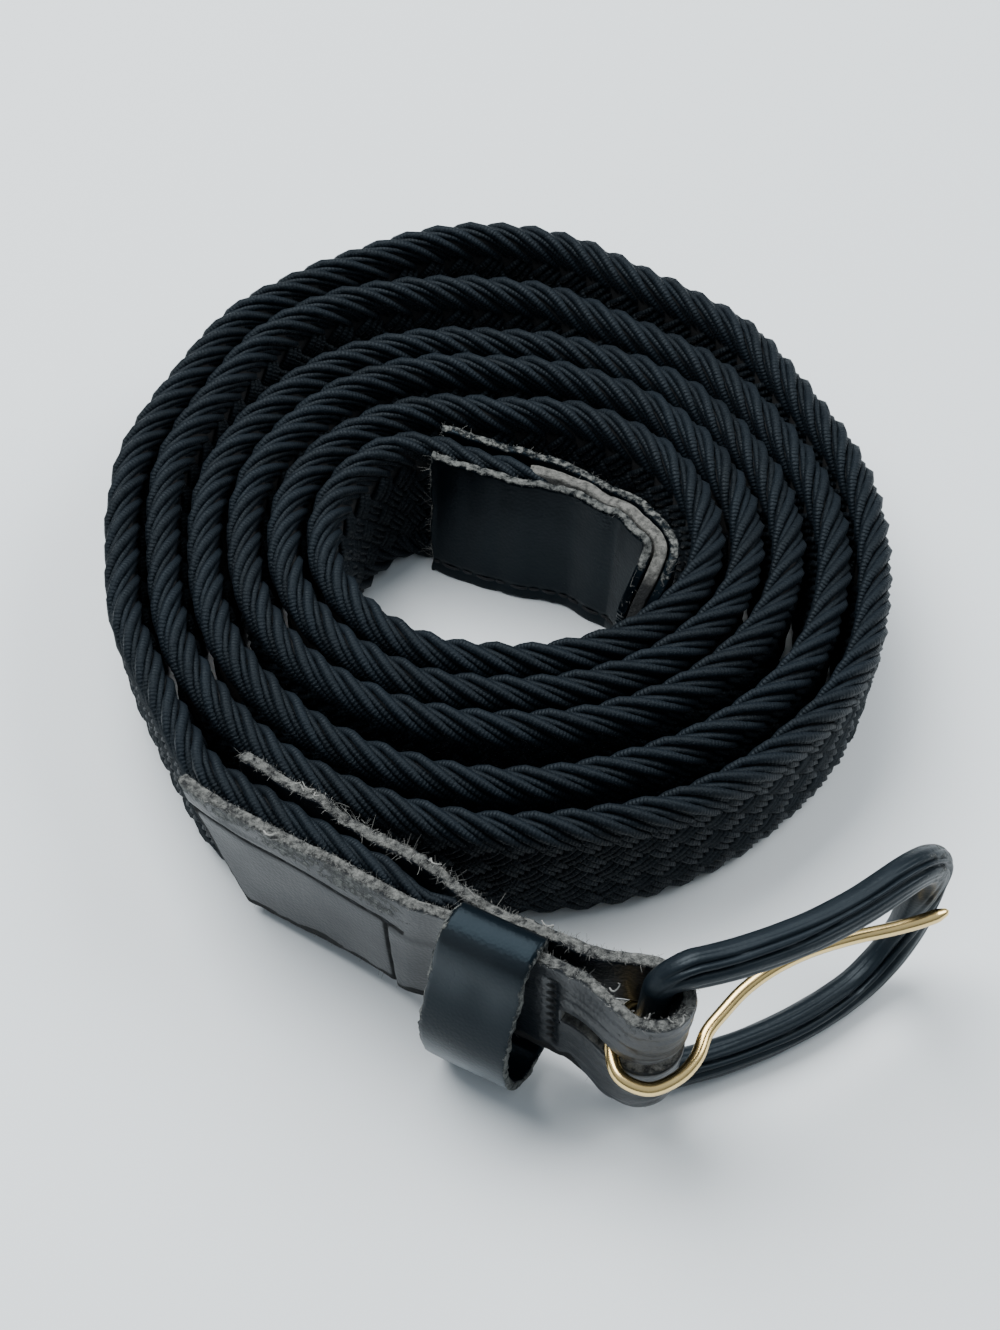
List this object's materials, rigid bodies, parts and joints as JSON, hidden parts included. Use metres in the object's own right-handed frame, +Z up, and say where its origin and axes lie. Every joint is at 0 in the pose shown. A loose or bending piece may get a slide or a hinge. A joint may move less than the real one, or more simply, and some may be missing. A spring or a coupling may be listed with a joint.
{
  "type": "belt",
  "caption": "Woven elastic belt with leather ends and a leather-covered frame buckle, unfastened, rolled into a coil that stands on its edge.",
  "frame": {"origin": "under the middle of the rolled belt's box, at the level it stands on", "axes": "+Z up, square to the level that the band's lower edge stands on; -Y towards the buckle, which lies in front of the coil; +X to the right seen from the buckle"},
  "size_m": [0.0976, 0.1304, 0.0315],
  "materials": {
    "woven_elastic": "matt, near black with a faint blue-grey sheen",
    "smooth_leather": "smooth, soft sheen",
    "split_leather": "raw grey board, matt",
    "covering_leather": "smooth, soft sheen",
    "gold_plate": "polished pale gold plate"
  },
  "bodies": {
    "belt": {"braid_band": "woven_elastic", "tip_inner_leather": "smooth_leather", "tip_filler": "split_leather", "tip_outer_leather": "smooth_leather", "buckle_strap": "smooth_leather", "keeper": "smooth_leather"},
    "frame": {"buckle_frame": "covering_leather"},
    "prong": {"prong": "gold_plate"}
  },
  "joints": [
    {"name": "frame_hinge", "type": "hinge", "parent": "belt", "child": "frame", "pos_m": [0.01551, -0.05757, 0.01602], "axis": [0.0533, -0.0999, 0.9936], "range_deg": [-80, 8]},
    {"name": "prong_hinge", "type": "hinge", "parent": "frame", "child": "prong", "pos_m": [0.01551, -0.05757, 0.01602], "axis": [0.0533, -0.0999, 0.9936], "range_deg": [-90, 0]}
  ]
}
